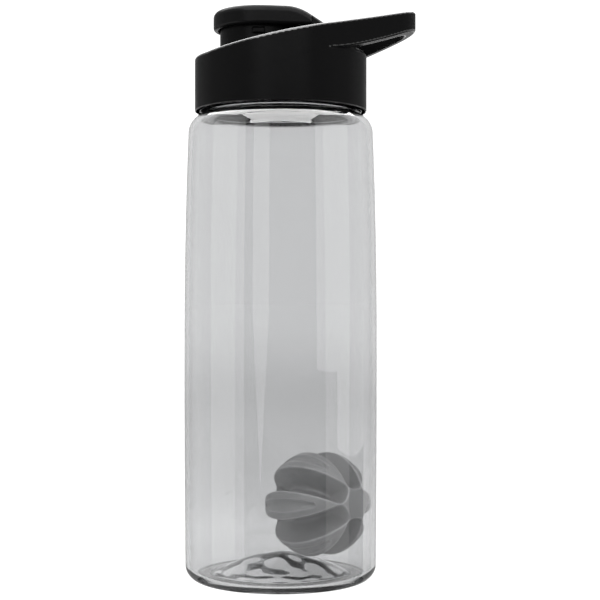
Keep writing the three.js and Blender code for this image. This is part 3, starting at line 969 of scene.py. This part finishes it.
def cap_field(x, y, z):
    """Distance to the cap's surface, less than zero inside the plastic."""
    side = np.abs(y)
    from_spout = np.hypot(x - SPOUT_X, y)
    lean = (CAP_RADIUS - REAR_HALF_WIDTH) / (HINGE_X + KNUCKLE - SPOUT_X)
    straight = math.sqrt(1 - lean * lean)
    flank = lean * (x - SPOUT_X) + straight * side - CAP_RADIUS
    past = straight * (x - SPOUT_X) - lean * side > 0
    plan = np.where(past, flank, from_spout - CAP_RADIUS)
    near_front = np.clip((bend_last[0] - x) / (2 * BEND), 0, 1)
    crown = CROWN * near_front * (from_spout / CAP_RADIUS) ** 2
    above = outline_distance(x, z + crown, cap_side)
    solid = meet(plan, above, CAP_EDGE)
    ahead, under = HINGE_X - KNUCKLE - x, CAP_BOTTOM - z
    clear_of_skirt = -np.hypot(np.minimum(ahead, 0), np.minimum(under, 0))
    below = np.where((ahead > 0) & (under > 0), np.minimum(ahead, under), clear_of_skirt)
    solid = meet(solid, below, 1.2)
    hollow = meet(from_spout - (CAP_RADIUS - CAP_WALL), z - (CAP_TOP - CAP_ROOF), 0.8)
    solid = cut(solid, hollow, 0.4)
    ear_room = meet(HINGE_X - KNUCKLE + CLEARANCE - x, REAR_HALF_WIDTH - side, 0.2)
    solid = cut(solid, ear_room, 0.3)
    pin_hole = np.hypot(x - HINGE_X, z - HINGE_Z) - PIN_RADIUS - PIN_PLAY
    return cut(solid, pin_hole, 0.2)


depth = float(cap_field(SPOUT_X, 0.0, CAP_TOP - CAP_ROOF / 2))
print("the middle of the cap's roof lies", round(-depth, 2), "mm deep")

cap_black = black_plastic("satin_black_cap", 0.0034, 0.15)
cap_points, cap_faces, cap_normals = surface_net(cap_field, cap_low, cap_high, CAP_GRID)
make_piece(
    "flip_cap_moulding", cap_points, cap_faces, cap_black, "cap", ["flip_cap"],
    cap_normals, sharpness(cap_field, cap_points),
)

# %% [markdown]
# ## The mixing ball
#
# The ball is a solid grey plastic ball with six deep valleys that run from pole to pole and a
# shallow groove down each rib between them. Its valleys end short of the poles in round tips.
# Pushing a sphere's points inwards would stretch the faces on the steep valley walls, so the
# ball is a distance field too: the valleys are long slots with an oval section, cut with a small
# rounded edge.

# %% The ball as a field
BALL_RADIUS = 21.0
RIBS = 6
VALLEY_DEPTH = 8.8
VALLEY_HALF_WIDTH = 5.3
VALLEY_END = 74  # degrees from the ball's equator
VALLEY_END_ROUND = 4.3
VALLEY_EDGE = 0.55
GROOVE_DEPTH = 0.9
GROOVE_HALF_WIDTH = 2.7
GROOVE_END = 41
GROOVE_END_ROUND = 1.0
BALL_GRID = 0.4


def slot(along, across, half_length, half_width, end_round):
    """Distance from a slot's middle line as a share of its half width, and that width."""
    straight = half_length - end_round
    share = np.minimum(1, np.abs(along) / straight)
    width = half_width + (end_round - half_width) * share**2
    past = np.maximum(0, np.abs(along) - straight)
    return np.hypot(past, across) / width, width


def ball_field(x, y, z):
    """Distance to the ball's surface about its own centre, with its poles on Z."""
    distance = np.sqrt(x * x + y * y + z * z) + 1e-9
    latitude = np.arcsin(np.clip(z / distance, -1, 1))
    angle = np.arctan2(y, x)
    pitch = 2 * math.pi / RIBS
    from_rib = angle - pitch * np.round(angle / pitch)
    circle = BALL_RADIUS * np.cos(latitude)
    along = BALL_RADIUS * latitude
    depth = BALL_RADIUS - distance
    across = circle * (pitch / 2 - np.abs(from_rib))
    valley_length = BALL_RADIUS * math.radians(VALLEY_END)
    share, width = slot(along, across, valley_length, VALLEY_HALF_WIDTH, VALLEY_END_ROUND)
    oval = np.hypot(share, depth / VALLEY_DEPTH)
    steep = np.hypot(share / width, depth / VALLEY_DEPTH**2) / np.maximum(oval, 1e-6)
    valley = (oval - 1) / np.maximum(steep, 0.05)
    groove_length = BALL_RADIUS * math.radians(GROOVE_END)
    down_rib = circle * from_rib
    share, _ = slot(along, down_rib, groove_length, GROOVE_HALF_WIDTH, GROOVE_END_ROUND)
    groove = GROOVE_DEPTH * np.maximum(0, 1 - share**2)
    skin = distance - BALL_RADIUS + groove
    return cut(skin, valley, VALLEY_EDGE)


ball_points, ball_faces, ball_normals = surface_net(
    ball_field, [-BALL_RADIUS] * 3, [BALL_RADIUS] * 3, BALL_GRID
)
print("ball mesh:", len(ball_points), "points")

# %% [markdown]
# ## Where the ball lies
#
# The ball has rolled to the wall and lies on the dome. A simulation could let it settle there, but
# with two known surfaces the place can simply be worked out. Its centre is a ball's radius from
# both, so we take the highest place that the dome's curve allows. Four turns, in degrees, lay its
# poles level and give it the chance attitude in which it came to rest.

# %% Lay the ball down
SEAT = BALL_RADIUS + CLEARANCE
ball_x = float(body_radius(FLOOR + BALL_RADIUS)) - WALL - SEAT
dome_r = np.linspace(0, DOME_FOOT, 41)
dome_z = FLOOR + DOME_RISE * (1 - (dome_r / DOME_FOOT) ** DOME_CURVE)
reach = np.clip(SEAT**2 - (dome_r - ball_x) ** 2, 0, None)
ball_z = float((dome_z + np.sqrt(reach)).max())
turn = (
    Matrix.Rotation(math.radians(-8.2), 3, "X")
    @ Matrix.Rotation(math.radians(-45), 3, "Z")
    @ Matrix.Rotation(math.radians(90), 3, "Y")
    @ Matrix.Rotation(math.radians(32), 3, "Z")
)
ball_edges = sharpness(ball_field, ball_points)
ball_points = ball_points @ np.array(turn).T + np.array([ball_x, 0, ball_z])
ball_normals = ball_normals @ np.array(turn).T
print("ball centre:", round(ball_x, 2), 0.0, round(ball_z, 2))

# %% [markdown]
# ## Grey plastic
#
# The ball's plastic is a flat mid grey with a satin face. The thin light lines along the edges of
# its valleys are a painted highlight: the base colour is lighter there. Noise alone would spread it
# everywhere, so the attribute "edge" finds the edges, as on the lid.

# %% Grey plastic and the ball
grey = Finish("satin_grey_ball", IOR=1.46, Specular_IOR_Level=0.35)
fine = grey.noise(0.4, detail=3)
slow = grey.noise(7, detail=2)
# Painted highlight: the sharp valley edges get a lighter base colour.
painted_edge_highlight = grey.node("ShaderNodeAttribute", {"attribute_name": "edge"}, output="Fac")
face_grey = grey.mix(slow, (0.152, 0.153, 0.155), (0.174, 0.175, 0.177))
grey.feed("Base Color", grey.mix(grey.fade(painted_edge_highlight, 0.2, 0.9, 0, 0.8), face_grey, (0.23, 0.23, 0.235)))
grey.feed("Roughness", 0.34 + slow * 0.12 + fine * 0.05)
grey.bump(fine, 0.02, 0.3)
make_piece(
    "mixing_ball_ribbed", ball_points, ball_faces, grey, "ball", ["mixing_ball"],
    ball_normals, ball_edges,
)

# %% [markdown]
# ## The soft parts
#
# Two silicone parts keep the drink in, and a steel pin holds the cap. Silicone is soft and never
# shiny: a bloom of fine dust and oil clouds it. The first soft part is a flat ring between the
# neck and the lid. Blender's torus would be too round for it, so it is a turned shape with four
# rounded edges.

# %% Silicone and the neck's ring
silicone = Finish("dark_silicone", IOR=1.41)
bloom = silicone.noise(2.5, detail=3)
silicone.feed("Base Color", silicone.mix(bloom, (0.07, 0.07, 0.074), (0.1, 0.1, 0.105)))
silicone.feed("Roughness", 0.58 + bloom * 0.2)
silicone.bump(silicone.noise(0.5, detail=2), 0.02, 0.4)


def rounded_ring(inner, outer, low, high, edge):
    """A ring's profile with its four edges rounded."""
    return np.concatenate([
        arc(outer - edge, low + edge, edge, 270, 360, 4),
        arc(outer - edge, high - edge, edge, 0, 90, 4),
        arc(inner + edge, high - edge, edge, 90, 180, 4),
        arc(inner + edge, low + edge, edge, 180, 270, 4),
    ])


ring = rounded_ring(neck_inner, gasket_high.y, gasket_low.z, gasket_high.z, 0.3)
gasket_points, gasket_faces = turned(ring, 160)
make_piece(
    "neck_gasket", gasket_points, gasket_faces, silicone, "gasket", ["lid_gasket"]
)

# %% [markdown]
# ## The spout's plug
#
# The plug hangs in the cap: a flange that lies on the spout's rim, and a body that narrows
# downwards so that it finds its way into the bore. It is another turned shape, drawn from the
# middle of its underside round to the middle of its top.

# %% Spout plug
FLANGE = 1.4
PLUG_TOP = SPOUT_BORE - 1.0
PLUG_BOTTOM = PLUG_TOP - 1.2
FLANGE_BOTTOM = seal_high.z - FLANGE
plug_profile = np.concatenate([
    [[0.0, seal_low.z + 0.5], [PLUG_BOTTOM - 3.0, seal_low.z + 0.5]],
    [[PLUG_BOTTOM - 2.2, seal_low.z]],
    arc(PLUG_BOTTOM - 0.4, seal_low.z + 0.4, 0.4, 270, 340, 4),
    [[PLUG_TOP - 0.1, FLANGE_BOTTOM - 0.2], [PLUG_TOP + 0.2, FLANGE_BOTTOM]],
    arc(seal_high.y - 0.4, FLANGE_BOTTOM + 0.4, 0.4, 270, 360, 4),
    arc(seal_high.y - 0.4, seal_high.z - 0.4, 0.4, 0, 90, 4),
    [[0.0, seal_high.z]],
])
seal_points, seal_faces = turned(plug_profile, 128)
seal_points = seal_points + np.array([SPOUT_X, 0, 0])
make_piece(
    "spout_plug", seal_points, seal_faces, silicone, "cap", ["spout_seal"]
)

# %% [markdown]
# ## The hinge pin
#
# The pin is a length of drawn steel wire with chamfered ends. Drawing leaves scratches along the
# wire, so its noise is stretched that way. A plain cylinder would be quicker, but its sharp ends
# would catch no light. It is turned about Z like everything else and then laid along Y, through
# the lid's ears and the cap's knuckle.

# %% Hinge pin
CHAMFER = 0.3
steel = Finish("drawn_steel", Metallic=1.0)
drawn = steel.noise(0.5, detail=3, where=steel.stretched(1, 0.05, 1))
steel.feed("Base Color", steel.mix(drawn, (0.6, 0.61, 0.62), (0.72, 0.73, 0.74)))
steel.feed("Roughness", 0.22 + drawn * 0.16)
steel.bump(drawn, 0.01, 0.4)
half = pin_high.y
pin_profile = np.array([
    [0.0, -half], [PIN_RADIUS - CHAMFER, -half], [PIN_RADIUS, CHAMFER - half], [PIN_RADIUS, 0.0],
    [PIN_RADIUS, half - CHAMFER], [PIN_RADIUS - CHAMFER, half], [0.0, half],
])
pin_points, pin_faces = turned(pin_profile, 48)
pin_points = pin_points[:, [0, 2, 1]] * [1, -1, 1] + np.array([HINGE_X, 0, HINGE_Z])
make_piece("hinge_wire", pin_points, pin_faces, steel, "lid", ["hinge_pin"])

# %% [markdown]
# ## The studio
#
# Clear plastic is drawn by what surrounds it. A bright, even surround gives the white backdrop.
# The floor is a very wide disc of pale paper. A paper floor alone would show a grey horizon through
# the bottle, so it glows a little: far away just enough to be as bright as the surround, and in a
# small pool round the bottle, as if the light table under it were lit.
#
# None of the studio's pieces is hung on a body.

# %% Floor and surround
SURROUND = 1.3
FLOOR_RADIUS = 40.0
FAR_GLOW = (0.38, 0.38, 0.38)
POOL_GLOW = (0.22, 0.22, 0.22)
scene = bpy.context.scene
scene.view_settings.view_transform = "Standard"
world = bpy.data.worlds.new("white_surround")
scene.world = world
world.use_nodes = True
world.node_tree.nodes["Background"].inputs["Color"].default_value = (1, 1, 1, 1)
world.node_tree.nodes["Background"].inputs["Strength"].default_value = SURROUND

paper = Finish("pale_paper", Roughness=1.0, Specular_IOR_Level=0.0, Emission_Strength=1.0)
fibre = paper.noise(6, detail=3)
paper.feed("Base Color", paper.mix(fibre, (0.7, 0.7, 0.7), (0.72, 0.72, 0.72)))
from_middle = paper.node("ShaderNodeVectorMath", {"operation": "LENGTH"}, {0: paper.place}, 1)
near = paper.fade(1 / from_middle, 0.05, 1.1)
pool = paper.fade(1 / from_middle, 2.0, 8.0)
paper.feed("Emission Color", paper.mix(near, FAR_GLOW, paper.mix(pool, (0, 0, 0), POOL_GLOW)))


def stage_sheet(name, outline, material):
    """One flat sheet that belongs to the studio and not to the object."""
    mesh = bpy.data.meshes.new(name)
    mesh.from_pydata(outline, [], [tuple(range(len(outline)))])
    mesh.materials.append(material)
    sheet = bpy.data.objects.new(name, mesh)
    scene.collection.objects.link(sheet)
    return sheet


around = np.arange(96) * 2 * math.pi / 96
rim_points = [(FLOOR_RADIUS * math.cos(a), FLOOR_RADIUS * math.sin(a), 0.0) for a in around]
floor = stage_sheet("floor", rim_points, paper.material)
floor.visible_glossy = False
print("floor:", len(rim_points), "corners")

# %% [markdown]
# ## Black cards
#
# Clear and black things are lit with cards as much as with lamps, because what a shiny wall
# mirrors is what we see on it. A dark card in front keeps the middle of the body and the lid from
# washing out. The V-shaped gap in it is the soft bright band that runs up the body. Lower cards at
# the right side and beneath do the same for the ball and for the foot.
#
# Each card is seen only in reflections, so that it neither hides the bottle nor shades it.

# %% Dark cards
card_finish = Finish("dark_card", Roughness=1.0, Specular_IOR_Level=0.0)
card_finish.feed("Base Color", (0.02, 0.02, 0.02, 1))
CARD_Y = -0.95
CARD_LOW = -0.9
CARD_TOP = 0.9
GAP_LEFT, GAP_RIGHT = -0.59, -0.22


def only_in_reflections(sheet):
    """Hides a sheet from every ray but the ones that a shiny surface sends out."""
    for ray in ("camera", "diffuse", "transmission", "shadow", "volume_scatter"):
        setattr(sheet, "visible_" + ray, False)


front = [
    (-0.86, CARD_LOW), (2.6, CARD_LOW), (2.6, -0.06), (0.86, 0.02), (0.86, CARD_TOP),
    (GAP_RIGHT, CARD_TOP), (GAP_RIGHT, 0.1), (-0.4, -0.1), (GAP_LEFT, 0.1), (GAP_LEFT, CARD_TOP),
    (-0.86, CARD_TOP),
]
low_side = [(-0.94, CARD_LOW), (0.9, CARD_LOW), (0.9, -0.12), (-0.94, -0.12)]
beneath = [(-1.5, -0.94), (1.5, -0.94), (1.5, 1.5), (-1.5, 1.5)]
cards = {
    "dark_card": [(x, CARD_Y, z) for x, z in front],
    "low_side_card": [(1.5, y, z) for y, z in low_side],
    "card_beneath": [(x, y, -0.6) for x, y in beneath],
}
for name, corners in cards.items():
    only_in_reflections(stage_sheet(name, corners, card_finish.material))
print("dark cards:", len(cards))

# %% [markdown]
# ## Grey flags
#
# At its left and right edges the wall is seen at a glancing angle, where plastic mirrors almost
# like metal. With nothing but a bright surround to mirror, the edges would vanish into the
# backdrop. A grey flag behind the bottle on each side gives them a clean line. Its grey fades to
# white outwards, so that the flag itself has no edge to be seen.

# %% Grey flags
flag_finish = Finish("grey_flag", Roughness=1.0, Specular_IOR_Level=0.0)
sideways = flag_finish.node("ShaderNodeSeparateXYZ", None, {0: flag_finish.place}, output="X")
outwards = flag_finish.fade(sideways.math("ABSOLUTE", sideways), 0.7, 1.3)
flag_finish.feed("Base Color", flag_finish.mix(outwards, (0.4, 0.4, 0.4), (0.95, 0.95, 0.95)))
for name, side in (("left_flag", -1), ("right_flag", 1)):
    inner_end, outer_end = (0.3 * side, 0.97), (1.3 * side, 0.6)
    corners = [
        (*inner_end, CARD_LOW), (*outer_end, CARD_LOW), (*outer_end, CARD_TOP),
        (*inner_end, CARD_TOP),
    ]
    only_in_reflections(stage_sheet(name, corners, flag_finish.material))
    print(name, "from", inner_end, "to", outer_end)

# %% [markdown]
# ## Soft boxes
#
# The lamps are area lights, large for their distance, so every highlight is soft, where a small
# lamp would show as a hard speck. Two boxes in front and above draw the light line along the lid's
# rim and on the shoulder, one overhead lights the cap's top, a weak one high above fills in
# evenly, and a faint one on each side models the black plastic. The three strong ones are kept out
# of diffuse light, or they would bleach the floor. None of them can be seen through the bottle.

# %% Lamps


def soft_box_light(name, place, aim, width, height, watts):
    """A soft box at a place in metres, turned to face its aim."""
    data = bpy.data.lights.new(name, "AREA")
    data.shape = "RECTANGLE"
    data.size, data.size_y = width, height
    data.energy = watts
    light = bpy.data.objects.new(name, data)
    light.location = place
    light.rotation_euler = (Vector(aim) - Vector(place)).to_track_quat("-Z", "Y").to_euler()
    light.visible_camera = False
    light.visible_transmission = False
    scene.collection.objects.link(light)
    print(name, watts, "W")
    return light


middle = (AXIS_X, 0, 0.11)
soft_box_light("top_box", (0, 0.1, 1.1), (0, 0, 0), 1.2, 1.2, 5)
key = soft_box_light("key_box", (0, -0.58, 0.87), middle, 1.3, 0.8, 30)
low_key = soft_box_light("low_key_box", (0, -0.9, 0.52), middle, 1.4, 0.22, 11)
overhead = soft_box_light("overhead_box", (0, 0.3, 0.95), (0, 0.2, 0), 1.4, 1.0, 32)
for box in (key, low_key, overhead):
    box.visible_diffuse = False
soft_box_light("left_box", (-1.0, -0.35, 0.35), middle, 0.7, 1.2, 2)
soft_box_light("right_box", (1.0, -0.35, 0.35), middle, 0.7, 1.2, 2)

# %% [markdown]
# ## The camera
#
# The camera stands half a metre away at the bottle's mid height and looks level along +Y, with a
# long lens, so upright lines stay upright and both rims show as thin ellipses. Tilting a camera
# down from higher up would make the sides lean together.

# %% Camera
camera_data = bpy.data.cameras.new("camera")
camera_data.lens = 84.9  # millimetres, on a 36 mm sensor
camera_data.sensor_width = 36.0
camera_data.clip_start = 0.01
camera = bpy.data.objects.new("camera", camera_data)
camera.location = (0.0, -0.56, 0.1097)
camera.rotation_euler = (math.radians(90), 0, 0)
scene.collection.objects.link(camera)
scene.camera = camera
print("camera height:", camera.location.z, "m")
